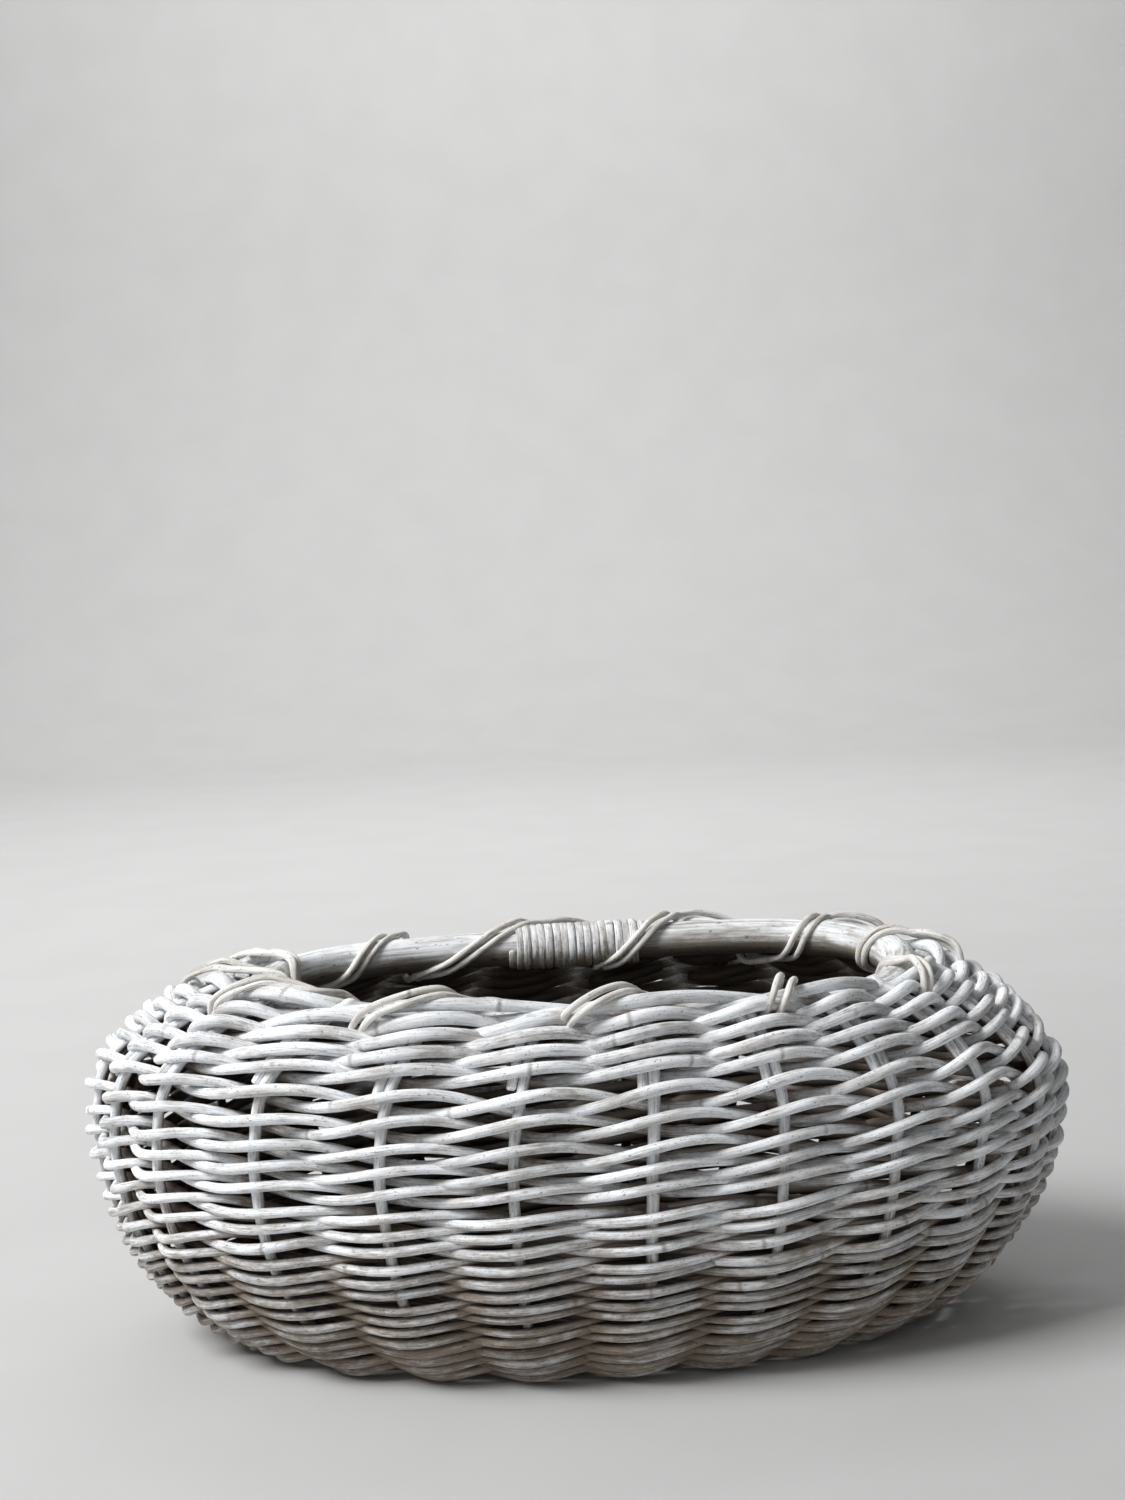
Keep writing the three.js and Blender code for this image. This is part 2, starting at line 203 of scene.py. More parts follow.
class Wall:
    """The wall's middle surface: two elliptic arcs that meet upright at the belly.

    A level q from -1 (base) to 1 (rim) gives an ellipse; its half axes leave the belly's by the
    arc's versed sine and its height by the arc's sine. Heights s are lengths up the long side."""

    SAMPLES = 800
    SAG_FROM = 0.55
    # Where some uprights stand apart, how wide that place is and how far they move, in degrees
    APART_AT, APART_WIDTH, APART_MOVE = -143, 16, 4.2

    def __init__(self, shape, canes):
        low = canes.stake / 2 + canes.weaver_low
        mid = canes.stake / 2 + (canes.weaver_low + canes.weaver_high) / 2
        high = canes.stake / 2 + canes.weaver_high
        self.base = self.inset(shape.base_length, shape.base_width, 0, low, -shape.base_turn)
        self.belly = self.inset(shape.belly_length, shape.belly_width, shape.belly_height, mid, 0)
        self.rim = self.inset(
            shape.rim_length, shape.rim_width, shape.rim_height, high, shape.shoulder_turn)
        self.turns = (shape.base_turn, shape.shoulder_turn)
        self.q = np.linspace(-1, 1, self.SAMPLES)
        ring = self.ring(self.q)
        steps = np.hypot(np.diff(ring[:, 1]), np.diff(ring[:, 2]))
        self.s = np.concatenate([[0], np.cumsum(steps)])
        self.length = self.s[-1]

    @staticmethod
    def inset(length, width, z, depth, turn):
        """Half axes and height, moved in from the outside by a depth square to the weave."""
        level, sunk = depth * math.cos(turn), depth * math.sin(turn)
        return np.array([length / 2 - level, width / 2 - level, z - sunk])

    def ring(self, q):
        """Half length, half width and height of the ellipse at level q."""
        upper = (q > 0)[..., None]
        end = np.where(upper, self.rim, self.base)
        turn = np.where(q > 0, self.turns[1], self.turns[0])
        w = (1 - np.cos(q * turn)) / (1 - np.cos(turn))
        h = np.sin(np.abs(q) * turn) / np.sin(turn)
        share = np.stack([w, w, h], -1)
        return self.belly + (end - self.belly) * share

    def point(self, theta, s):
        """The point at angle theta and height s; the uprights near one end stand apart."""
        ring = self.ring(np.interp(s, self.s, self.q))
        sag = rim_sag(theta) * smoothstep(self.SAG_FROM, 1.0, s / self.length)
        apart = (np.degrees(theta) - self.APART_AT + 180) % 360 - 180
        theta = theta - math.radians(self.APART_MOVE) * np.exp(-(apart / self.APART_WIDTH) ** 2)
        return np.stack([ring[..., 0] * np.cos(theta), ring[..., 1] * np.sin(theta),
                         ring[..., 2] + sag], -1)

    def frame(self, theta, s):
        """Point, up and out directions: out is square to the row and to the way up."""
        e = 0.4 * MM
        inside = np.clip(s, e, self.length - e)
        along = self.point(theta + e, s) - self.point(theta - e, s)
        up = unit(self.point(theta, inside + e) - self.point(theta, inside - e))
        out = unit(np.cross(unit(along), up))
        return self.point(theta, s), up, out


def handmade(points):
    """The whole basket's irregular shape: the rim drifts along the length, the shoulder less than
    the rim, and slow waves round the basket push the wall in and out and up and down, more the
    higher it is."""
    x, y, z = points[:, 0], points[:, 1], points[:, 2]
    theta = np.arctan2(2.1 * y, x) / TURN
    drift = scene_part("shape").rim_drift * smoothstep(0.10, 0.185, z)
    full = smoothstep(0.118, 0.152, z) * (1 - smoothstep(0.176, 0.190, z))
    drift = drift - full * np.interp(x, [-0.2, -0.04, 0.04, 0.2], [7.5, 0, 0, 3]) * MM
    free = smoothstep(0.012, 0.10, z)
    swell = 1 + 0.011 * free * waves(theta + 1.7 * z, [1, 1 / 2, 1 / 3, 1 / 5], 3)
    rise = 1.0 * MM * free * waves(theta + 0.8 * z, [1, 1 / 2, 1 / 3, 1 / 4], 5)
    return np.stack([x * swell + drift, y * swell, z + rise], -1)


def scene_part(name):
    """One of the scene's groups of settings."""
    return getattr(bpy.context.scene, "rattan_" + name)


def new_object(name, data):
    """An object at the origin, linked to the scene."""
    made = bpy.data.objects.new(name, data)
    bpy.context.scene.collection.objects.link(made)
    return made


def basket_wall():
    """The wall that the current settings give."""
    return Wall(scene_part("shape"), scene_part("canes"))


def sweep(path, out, radius, sides, start=0.0, tone=0.5, aspect=1.0):
    """A cane: an ellipse of the given radius, aspect times as deep, carried along a path with
    its first axis towards out. Both ends are rounded off by two smaller rings. Grain is the
    length along the cane, the depth and the place across."""
    radius = np.broadcast_to(radius, len(path)).astype(float)
    tangent = unit(np.gradient(path, axis=0))
    ends = np.array([-0.38, -0.16])
    tips = np.array([0.55, 0.88])
    head = path[0] + ends[:, None] * radius[0] * tangent[0]
    tail = path[-1] - ends[::-1, None] * radius[-1] * tangent[-1]
    path = np.concatenate([head, path, tail])
    tangent = at_ends(tangent)
    out = at_ends(np.broadcast_to(out, (len(path) - 4, 3)))
    radius = np.concatenate([tips * radius[0], radius, tips[::-1] * radius[-1]])
    side = unit(out - np.sum(out * tangent, -1, keepdims=True) * tangent)
    up = np.cross(tangent, side)
    phi = TURN * np.arange(sides) / sides
    depth = aspect * radius[:, None] * np.cos(phi)
    across = radius[:, None] * np.sin(phi)
    points = path[:, None] + depth[..., None] * side[:, None] + across[..., None] * up[:, None]
    along = start + path_length(path)
    grain = np.stack([np.broadcast_to(along[:, None], depth.shape), depth, across], -1)
    return {"points": points, "grain": grain, "painted_shade": np.zeros(depth.shape),
            "tone": np.full(depth.shape, tone)}


def at_ends(values, more=2):
    """Rows of values with the first and last repeated, as for the rounded ends of a cane."""
    return np.pad(values, ((more, more), (0, 0)), mode="edge")


def tube_faces(rings, sides, first):
    """Corner lists of a tube's quads and of its two flat end polygons."""
    i = np.arange(rings - 1)[:, None] * sides
    j = np.arange(sides)
    k = (j + 1) % sides
    quads = np.stack(np.broadcast_arrays(i + j, i + k, i + k + sides, i + j + sides), -1)
    caps = np.stack([j[::-1], (rings - 1) * sides + j])
    return quads.reshape(-1, 4) + first, caps + first


def make_piece(name, canes, material, nodes):
    """One mesh of all the canes given, riding on the basket and standing for the nodes named."""
    corners, sizes, first = [], [], 0
    for cane in canes:
        rings, sides = cane["points"].shape[:2]
        quads, caps = tube_faces(rings, sides, first)
        corners += [quads.ravel(), caps.ravel()]
        sizes += [np.full(len(quads), 4), np.full(2, sides)]
        first += rings * sides
    corners = np.concatenate(corners)
    sizes = np.concatenate(sizes)
    points = handmade(np.concatenate([c["points"].reshape(-1, 3) for c in canes]))
    mesh = bpy.data.meshes.new(name)
    starts = np.concatenate([[0], np.cumsum(sizes)[:-1]])
    for part, field, values, kind in (
            (mesh.vertices, "co", points, np.float32),
            (mesh.loops, "vertex_index", corners, np.int32),
            (mesh.polygons, "loop_start", starts, np.int32)):
        part.add(len(values))
        part.foreach_set(field, values.astype(kind).ravel())
    mesh.update(calc_edges=True)
    mesh.validate()
    mesh.shade_smooth()
    for key, kind, field in (
            ("grain", "FLOAT_VECTOR", "vector"), ("painted_shade", "FLOAT", "value"),
            ("tone", "FLOAT", "value")):
        values = np.concatenate([c[key].ravel() for c in canes])
        mesh.attributes.new(key, kind, "POINT").data.foreach_set(field, values.astype(np.float32))
    mesh.materials.append(material)
    piece = new_object(name, mesh)
    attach(piece, "root")
    if nodes:
        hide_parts(*nodes)


class Shader:
    """A node tree with short calls that place a node and join it to others."""

    def __init__(self, tree):
        self.tree = tree
        tree.nodes.clear()

    def node(self, kind, inputs=None, **settings):
        """A node with its settings; inputs are values, or sockets to link from."""
        made = self.tree.nodes.new(kind)
        for key, value in settings.items():
            setattr(made, key, value)
        for key, value in (inputs or {}).items():
            if isinstance(value, bpy.types.NodeSocket):
                self.tree.links.new(value, made.inputs[key])
            else:
                made.inputs[key].default_value = value
        return made

    def math(self, operation, a, b=0.0, c=0.0):
        """A sum worked out by a Math node."""
        return self.node("ShaderNodeMath", {0: a, 1: b, 2: c}, operation=operation).outputs[0]

    def ramp(self, value, low, high, start=0.0, end=1.0):
        """A value eased from start at low to end at high."""
        made = self.node(
            "ShaderNodeMapRange",
            {"Value": value, "From Min": low, "From Max": high, "To Min": start, "To Max": end},
            interpolation_type="SMOOTHSTEP")
        return made.outputs["Result"]

    def mix(self, factor, a, b, blend="MIX"):
        """Two colours mixed."""
        return self.node(
            "ShaderNodeMix", {0: factor, 6: a, 7: b}, data_type="RGBA",
            blend_type=blend).outputs[2]

    def noise(self, vector, stretch, detail, roughness):
        """Noise on a vector that is first stretched; stretch is in waves per metre."""
        scaled = self.node(
            "ShaderNodeVectorMath", {0: vector, 1: stretch}, operation="MULTIPLY").outputs[0]
        made = self.node(
            "ShaderNodeTexNoise",
            {"Vector": scaled, "Scale": 1.0, "Detail": detail, "Roughness": roughness})
        return made.outputs["Fac"]


def weathered_group():
    """Weathered cane: lengthwise fibres, worn pale wash in flakes and dark growth rings, with
    painted shade: where the painted-shade input is high, the wash thins and the colour goes
    towards the near-black shade colour. It puts out colour, roughness and height."""
    name = "weathered_cane"
    if name in bpy.data.node_groups:
        return bpy.data.node_groups[name]
    tree = bpy.data.node_groups.new(name, "ShaderNodeTree")
    for side, kind, labels in (
            ("INPUT", "NodeSocketVector", ("Grain",)),
            ("INPUT", "NodeSocketFloat", ("Tone", "Painted Shade", "Low Dirt And Shade", "Cover", "Ring Spacing")),
            ("INPUT", "NodeSocketColor", ("Wash", "Bare", "Shade Colour")),
            ("OUTPUT", "NodeSocketColor", ("Color",)),
            ("OUTPUT", "NodeSocketFloat", ("Roughness", "Height"))):
        for label in labels:
            tree.interface.new_socket(name=label, in_out=side, socket_type=kind)
    s = Shader(tree)
    given = s.node("NodeGroupInput").outputs
    fibre, flake, patch, speck, stain = (
        s.noise(given["Grain"], (along, across, across), detail, roughness)
        for along, across, detail, roughness in (
            (75, 1300, 3.0, 0.6), (190, 480, 5.0, 0.65), (26, 90, 3.0, 0.5),
            (600, 1000, 2.0, 0.6), (55, 170, 4.0, 0.6)))

    worn = s.math("MULTIPLY_ADD", flake, 0.5, s.math("MULTIPLY", fibre, 0.35))
    worn = s.math("MULTIPLY_ADD", patch, 0.45, worn)
    # Painted shade thins the wash, so bare cane shows on inner sides, undersides and in the gaps.
    cover = s.math("MULTIPLY_ADD", given["Painted Shade"], -0.50, given["Cover"])
    # Towards the floor the wash thins as well: partly dirt, partly painted shade.
    cover = s.math("MULTIPLY_ADD", given["Low Dirt And Shade"], -0.20, cover)
    mask = s.ramp(s.math("ADD", worn, cover), 0.98, 1.30)
    aged = s.mix(s.ramp(stain, 0.46, 0.68, 0.0, 0.40), given["Wash"], given["Bare"])
    colour_out = s.mix(mask, given["Bare"], aged)

    level = s.ramp(fibre, 0.30, 0.60, 0.80, 1.07)
    # The brightness falls with fibres, patches, tone and specks, and towards the floor with dirt
    # and painted shade.
    for factor in (
            s.ramp(patch, 0.32, 0.62, 0.92, 1.06), s.ramp(given["Tone"], 0.0, 1.0, 0.87, 1.09),
            s.ramp(given["Low Dirt And Shade"], 0.0, 1.0, 1.0, 0.72), s.ramp(speck, 0.28, 0.39, 0.45, 1.0)):
        level = s.math("MULTIPLY", level, factor)
    shade = s.node("ShaderNodeCombineColor", {0: level, 1: level, 2: level}).outputs[0]
    colour_out = s.mix(1.0, colour_out, shade, "MULTIPLY")

    along = s.node("ShaderNodeSeparateXYZ", {0: given["Grain"]}).outputs[0]
    places = s.math("DIVIDE", along, given["Ring Spacing"])
    away = s.math("ABSOLUTE", s.math("SUBTRACT", s.math("FRACT", places), 0.5))
    away = s.math("MULTIPLY", away, given["Ring Spacing"])
    away = s.math("MULTIPLY_ADD", flake, 0.0016, away)
    ring = s.math("MULTIPLY", s.ramp(away, 0.0008, 0.0026, 0.62, 0.0), s.ramp(patch, 0.40, 0.60))
    colour_out = s.mix(ring, colour_out, s.mix(0.45, given["Bare"], given["Shade Colour"]))
    # Painted shade: the colour is mixed towards the near-black shade colour where the
    # painted-shade amount is high.
    shade_share = s.math("POWER", given["Painted Shade"], 1.4)
    colour_out = s.mix(s.math("MULTIPLY", shade_share, 0.92), colour_out, given["Shade Colour"])

    rough = s.ramp(mask, 0.0, 1.0, 0.55, 0.78)
    height = s.math("MULTIPLY_ADD", mask, 0.35, s.math("MULTIPLY", fibre, 0.65))
    height = s.math("MULTIPLY_ADD", ring, -0.5, height)
    s.node("NodeGroupOutput", {"Color": colour_out, "Roughness": rough, "Height": height})
    return tree


def opaque(values):
    """A colour setting with full alpha, as a socket takes it."""
    return (*values, 1.0)


def cane_material(name, cover, rings, wash="wash", bare="bare", relief=0.00045, grain=1.0):
    """Weathered cane finish: the shared group read along each cane's own grain and painted-shade
    attribute, with less wash and a darker colour towards the ground, partly dirt and partly
    painted shade. cover is how much wash is left and rings the way between growth rings; wash and
    bare name two of the finish's colours."""
    if name in bpy.data.materials:
        return bpy.data.materials[name]
    finish = scene_part("finish")
    material = bpy.data.materials.new(name)
    material.use_nodes = True
    s = Shader(material.node_tree)
    lie, tone, painted_shade = (
        s.node("ShaderNodeAttribute", attribute_name=key).outputs[output]
        for key, output in (("grain", "Vector"), ("tone", "Fac"), ("painted_shade", "Fac")))
    lie = s.node("ShaderNodeVectorMath", {0: lie, "Scale": grain}, operation="SCALE").outputs[0]
    place = s.node("ShaderNodeTexCoord").outputs["Object"]
    height = s.node("ShaderNodeSeparateXYZ", {0: place}).outputs[2]
    # Darker and less washed towards the floor: partly dirt, partly painted shade where the lower
    # wall gets less light.
    low_dirt_and_shade = s.ramp(height, 0.0, 0.12, 1.0, 0.0)
    group = s.node("ShaderNodeGroup", {
        "Grain": lie, "Tone": tone, "Painted Shade": painted_shade, "Low Dirt And Shade": low_dirt_and_shade, "Cover": cover,
        "Ring Spacing": rings * grain, "Wash": opaque(getattr(finish, wash)),
        "Bare": opaque(getattr(finish, bare)), "Shade Colour": opaque(finish.shade_colour)},
        node_tree=weathered_group())
    bump = s.node(
        "ShaderNodeBump",
        {"Strength": 0.7, "Distance": relief, "Height": group.outputs["Height"]})
    shader = s.node("ShaderNodeBsdfPrincipled", {
        "Base Color": group.outputs["Color"], "Roughness": group.outputs["Roughness"],
        "Normal": bump.outputs[0], "Specular IOR Level": 0.2})
    s.node("ShaderNodeOutputMaterial", {"Surface": shader.outputs[0]})
    return material


def row_height(row, wall, rows):
    """Height of a row: the rows lie close at the base, spread over the belly and close up again
    under the rim, so the height is found from the sum of one over pitch."""
    s = np.linspace(0, wall.length, 600)
    pitch = PITCH_BASE + PITCH_BELLY * smoothstep(*PITCH_BELLY_AT, s)
    pitch = pitch - PITCH_RIM * smoothstep(*PITCH_RIM_AT, s)
    count = np.concatenate([[0], np.cumsum(np.diff(s) / (pitch[1:] * MM))])
    low, high = np.interp([FIRST_ROW, wall.length - TOP_ROW], s, count)
    return np.interp(low + (high - low) * row / (rows - 1), count, s)


def climbing_row(u, rows):
    """Row number after u stakes: level for a turn, then a step up over the last stakes."""
    turn = u / STAKES
    whole = np.floor(turn)
    return np.clip(whole + smoothstep(1 - 1.6 / STAKES, 1.0, turn - whole), 0, rows - 1)


def weaver_radius(s, canes):
    """Radius of a weaver at height s: thin near the base, thicker on the belly and most on the
    shoulder."""
    share = 0.5 * smoothstep(30 * MM, 100 * MM, s) + 0.5 * smoothstep(112 * MM, 150 * MM, s)
    return (canes.weaver_low + (canes.weaver_high - canes.weaver_low) * share) / 2


def growth_rings(along, spacing):
    """Swelling of a cane at its growth rings: 1 at a ring and 0 between, along its length."""
    return np.exp(-(((along / spacing) % 1 - 0.5) * spacing / (1.6 * MM)) ** 2)


def path_length(path):
    """Length along a path at each of its points."""
    steps = np.linalg.norm(np.diff(path, axis=0), axis=-1)
    return np.concatenate([[0], np.cumsum(steps)])


def row_level(row, back, wall, rows):
    """Height of a row round the basket: at the back the rows are half way to even ones."""
    spread = row_height(row, wall, rows)
    even = FIRST_ROW + (wall.length - TOP_ROW - FIRST_ROW) * row / (rows - 1)
    return spread + 0.5 * back * (even - spread)


def weaver_cane(wall, start, stop, family, seed, stakes_passed):
    """One weaver of the twined pair from stake count start to stop: it swings out and in of the
    wall as a cosine of the stakes passed and rises and sinks as their sine, so each pass over a
    stake climbs and the two canes cross between the stakes. On the front of the belly it lies
    half a row lower inside than outside. It is thicker at the foot and at the back. Its ends lie
    pressed inside."""
    shape, canes = scene_part("shape"), scene_part("canes")
    rng = np.random.default_rng(seed)
    past = 0.35
    u = np.linspace(start - past, stop + past, int((stop - start + 2 * past) * STEPS_PER_STAKE))
    theta = TURN * (u + FIRST_STAKE + 0.5) / STAKES
    back = smoothstep(-0.15, 0.35, np.sin(theta))
    row = climbing_row(u, shape.rows)
    s = row_level(row, back, wall, shape.rows)
    pitch = row_level(row + 0.5, back, wall, shape.rows)
    pitch = pitch - row_level(row - 0.5, back, wall, shape.rows)

    middle = np.sin(np.pi * np.clip(s / wall.length, 0, 1))
    together = waves(theta / TURN + 2.3 * s, [1, 1 / 2, 1 / 3, 1 / 4], 11)
    uneven = np.random.default_rng(19).normal(0, WANDER_ROWS, shape.rows)
    wander = WANDER_SHARED * together + WANDER_OWN * waves(u, [17.3, 9.1, 5.7], 13)
    wander = wander + np.interp(row, np.arange(shape.rows), uneven)
    s = s + wander * middle * MM
    shoulder = smoothstep(*BELLY_TO_SHOULDER, s)
    belly = smoothstep(*LOW_TO_BELLY, s) * (1 - 0.7 * shoulder)

    radius = weaver_radius(s, canes) * rng.normal(1.0, 0.055)
    radius = radius * (1 + TOP_FULLER if stakes_passed > 1 else 1)
    phase = 0.05 * waves(u, [31.0, 7.3, 3.1], 17 + family)
    swing = np.pi * (u / stakes_passed + family + phase)
    pressed = 1 - 0.10 * np.sin(swing) ** 2
    grown = 1 + 0.035 * waves(u, [11.0, 3.3], seed)
    radius = radius * pressed * grown * (1 + BACK_FULLER * back * (1 - shoulder))
    play = (0.3 + 0.8 * shoulder) * MM
    stand = canes.stake / 2 + radius + play
    stand = stand * (1 + 0.09 * waves(u, [5.3, 2.7], seed + 2))
    fuller = FOOT_FULLER * (1 - smoothstep(*FOOT_TO_WALL, s)) * radius
    stand, radius = stand - fuller, radius + fuller
    tuck = 1 - smoothstep(0.0, 0.75, np.minimum(u - u[0], u[-1] - u))
    tail = np.where(u > (start + stop) / 2, 1.0, 0.25)
    off = stand * np.cos(swing) - 1.7 * radius * tuck * tail

    side = smoothstep(-0.92, -0.35, np.cos(theta))
    steep = 0.95 * radius
    rise = (steep + side * belly * (0.31 * pitch - steep)) * np.sin(swing)
    lie = belly * (0.36 * side - 0.08)
    lie = lie - back * (lie + 0.06)
    rise = rise + lie * pitch * (np.cos(swing) - 1)
    rise = rise + 0.75 * MM * waves(u, [2.9, 3.7, 1.9], seed + 1)
    point, up, out = wall.frame(theta, np.clip(s, 0, wall.length))
    path = point + off[:, None] * out + rise[:, None] * up
    offset = rng.uniform(0, 40)
    rings = growth_rings(offset + path_length(path), WEAVER_RINGS)
    radius = radius * (1 + RING_FULLER * rings)
    cane = sweep(path, out, radius, WEAVER_SIDES, offset, tone=rng.uniform(0, 1))

    # Painted shade: the further inside the wall a surface lies, the darker it is painted, so inner
    # sides and gaps go dark; on the lower rows the ramp moves out so more of each weaver is
    # shaded.
    depth = np.sum((cane["points"] - at_ends(point)[:, None]) * at_ends(out)[:, None], -1)
    depth = depth / (canes.stake / 2 + canes.weaver_high)
    deeper = 0.66 * at_ends(1 - smoothstep(*LOW_TO_HIGH, s)[:, None])
    cane["painted_shade"] = 1 - smoothstep(-0.9 + deeper, -0.08 + deeper, depth)
    return cane


def weavers(wall, first_row, last_row, seed, stakes_passed=1):
    """Both canes of the pair from one row to another, each in lengths of about two turns that
    end behind a stake."""
    rng = np.random.default_rng(seed)
    made = []
    for family in (0, 1):
        start = first_row * STAKES + stakes_passed * (1 - family)
        last = last_row * STAKES + stakes_passed * (1 - family)
        while start < last:
            stop = start + 4 * int(rng.integers(10, 16))
            if last - stop < STAKES:
                stop = last
            made.append(weaver_cane(
                wall, start, stop, family, int(rng.integers(1, 10 ** 6)), stakes_passed))
            start = stop
    return made


class WallWeave(bpy.types.Operator):
    """Weave the wall: five bands of the twined pair"""
    bl_idname = "rattan.wall_weave"
    bl_label = "Wall weave"

    def execute(self, context):
        shape, wall = scene_part("shape"), basket_wall()
        material = cane_material("washed_weaver", cover=0.62, rings=WEAVER_RINGS)
        main_rows = shape.rows - shape.border_rows
        edges = [0, 5, 10, 15, 20, main_rows]
        for band in range(1, len(edges)):
            canes = weavers(wall, edges[band - 1], edges[band], 100 + band)
            nodes = [f"wall_weaver_a{band}", f"wall_weaver_b{band}"]
            make_piece(f"wall_weave_{band}", canes, material, nodes)
        return {"FINISHED"}


class BorderWeave(bpy.types.Operator):
    """Weave the border above the lashing slots"""
    bl_idname = "rattan.border_weave"
    bl_label = "Border weave"

    def execute(self, context):
        shape, wall = scene_part("shape"), basket_wall()
        material = cane_material("washed_border", cover=0.66, rings=WEAVER_RINGS)
        canes = weavers(wall, shape.rows - shape.border_rows, shape.rows - 1, 200)
        canes += weavers(wall, shape.rows - 1, shape.rows, 201, stakes_passed=2)
        nodes = ["border_weaver_a", "border_weaver_b"]
        make_piece("border_weave", canes, material, nodes)
        return {"FINISHED"}


class Hoop:
    """The pole's centre line: an ellipse with fuller corners that leans down to the front and
    rises at both ends. The third harmonic of its angle fills the corners."""

    FULLNESS = 0.035
    LONGER, WIDER, LOWER = 3 * MM, 5 * MM, 5.2 * MM
    LEAN, SADDLE, TWIST, SHIFT = 6.0 * MM, 2.8 * MM, 1.3 * MM, 3 * MM

    def __init__(self, canes):
        low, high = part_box("rim_hoop")
        self.radius = canes.hoop / 2
        self.a = (high.x - low.x) / 2 - self.radius + self.LONGER
        self.b = (high.y - low.y) / 2 - self.radius + self.WIDER
        self.z = (high.z + low.z) / 2 - self.LOWER

    def point(self, theta):
        """Centre of the pole at angle theta."""
        full = 1 - self.FULLNESS
        x = self.a * (np.cos(theta) - self.FULLNESS * np.cos(3 * theta)) / full + self.SHIFT
        y = self.b * (np.sin(theta) + self.FULLNESS * np.sin(3 * theta)) / full
        z = self.z + self.LEAN * np.sin(theta) + self.SADDLE * np.cos(theta) ** 2
        return np.stack([x, y, z + self.TWIST * np.sin(2 * theta)], -1)

    def run(self, theta):
        """Level direction along the pole, as long as the pole runs in one radian."""
        e = 0.001
        ahead = (self.point(theta + e) - self.point(theta - e)) / (2 * e)
        return ahead * [1, 1, 0]

    def out(self, theta):
        """Level direction square to the pole, away from the basket's middle."""
        return unit(np.cross(self.run(theta), [0, 0, 1]))

    def speed(self, theta):
        """Length of pole per radian."""
        return np.linalg.norm(self.run(theta), axis=-1)


class RimHoop(bpy.types.Operator):
    """Bend the pole hoop, with slanted ends that meet at the middle of the back"""
    bl_idname = "rattan.rim_hoop"
    bl_label = "Rim hoop"

    def execute(self, context):
        hoop = Hoop(scene_part("canes"))
        rings, gap, scarf = 361, 0.012, 28 * MM
        theta = np.linspace(BACK + gap / 2, BACK + TURN - gap / 2, rings)[:, None]
        phi = TURN * np.arange(HOOP_SIDES) / HOOP_SIDES
        own = theta + scarf * np.sin(phi) / hoop.speed(np.array(BACK))
        along = own * (hoop.a + hoop.b) / 2
        knot_way, knot_width = 0.145, 0.006
        knots = np.exp(-(((along + 0.02) % knot_way - 0.07) / knot_width) ** 2)
        radius = hoop.radius * (1 + 0.02 * waves(along, [0.31, 0.13, 0.057], 31) + 0.035 * knots)
        radius = radius * (1 + 0.02 * np.cos(2 * phi + 1.0) + 0.012 * np.cos(3 * phi))
        side = radius * np.cos(phi)
        up = radius * np.sin(phi)
        points = hoop.point(own) + side[..., None] * hoop.out(own)
        points[..., 2] += up
        # Painted shade on the pole's underside, and a little on its inner side.
        facing = -np.cos(phi) * 0.2 - np.sin(phi)
        painted_shade = 0.8 * smoothstep(-0.05, 0.85, facing) + 0 * own
        pole = {"points": points[:, ::-1], "grain": np.stack([along, side, up], -1)[:, ::-1],
                "painted_shade": painted_shade[:, ::-1], "tone": np.full(own.shape, 0.5)}
        material = cane_material(
            "washed_pole", cover=0.54, rings=0.29, bare="pole_bare", relief=0.0004, grain=0.45)
        make_piece("rim_hoop_pole", [pole], material, ["rim_hoop"])
        return {"FINISHED"}


class ScarfBinding(bpy.types.Operator):
    """Wind the flat cane over the hoop's scarf"""
    bl_idname = "rattan.scarf_binding"
    bl_label = "Scarf binding"

    def execute(self, context):
        canes = scene_part("canes")
        hoop = Hoop(canes)
        turns, per_turn, shift = canes.binding_turns, 40, 5 * MM
        turn = np.linspace(0, turns, turns * per_turn + 1)
        pitch = canes.binding_width * 0.99
        along = (turn - turns / 2) * pitch + 0.35 * MM * waves(turn, [2.7, 1.3], 41) - shift
        theta = BACK - along / hoop.speed(np.array(BACK))
        angle = TURN * turn + math.pi
        radial = hoop.out(theta) * np.cos(angle)[:, None]
        radial[:, 2] += np.sin(angle)
        tuck = 1 - smoothstep(0.0, 0.5, np.minimum(turn, turns - turn))
        away = hoop.radius + 0.7 * MM + canes.binding_thickness * (0.52 - 0.9 * tuck)
        away = away + 0.25 * MM * waves(turn, [3.1, 1.7, 0.6], 43)
        path = hoop.point(theta) + away[:, None] * radial
        half = canes.binding_width / 2
        aspect = canes.binding_thickness / canes.binding_width
        cane = sweep(path, radial, half, BINDING_SIDES, 3.0, aspect=aspect, tone=0.45)
        # Painted shade on the underside of each turn of the binding.
        below = at_ends(np.maximum(0, -np.sin(angle))[:, None])
        cane["painted_shade"] = np.broadcast_to(0.45 * below, cane["tone"].shape)
        material = cane_material("washed_binding", cover=0.55, rings=0.31)
        make_piece("scarf_binding_cane", [cane], material, ["scarf_binding"])
        return {"FINISHED"}


def smooth_path(points, step, width):
    """A curve along points: the straight way from point to point, taken in even steps and then
    averaged by a bell curve of the given width."""
    along = path_length(points[:, :3])
    t = np.linspace(0, along[-1], int(along[-1] / step) + 1)
    path = np.stack([np.interp(t, along, axis) for axis in points.T], -1)
    reach = int(3 * width / step)
    bell = np.exp(-0.5 * (np.arange(-reach, reach + 1) * step / width) ** 2)
    bell = bell / bell.sum()
    return np.stack([np.convolve(axis, bell, "valid") for axis in at_ends(path, reach).T], -1)


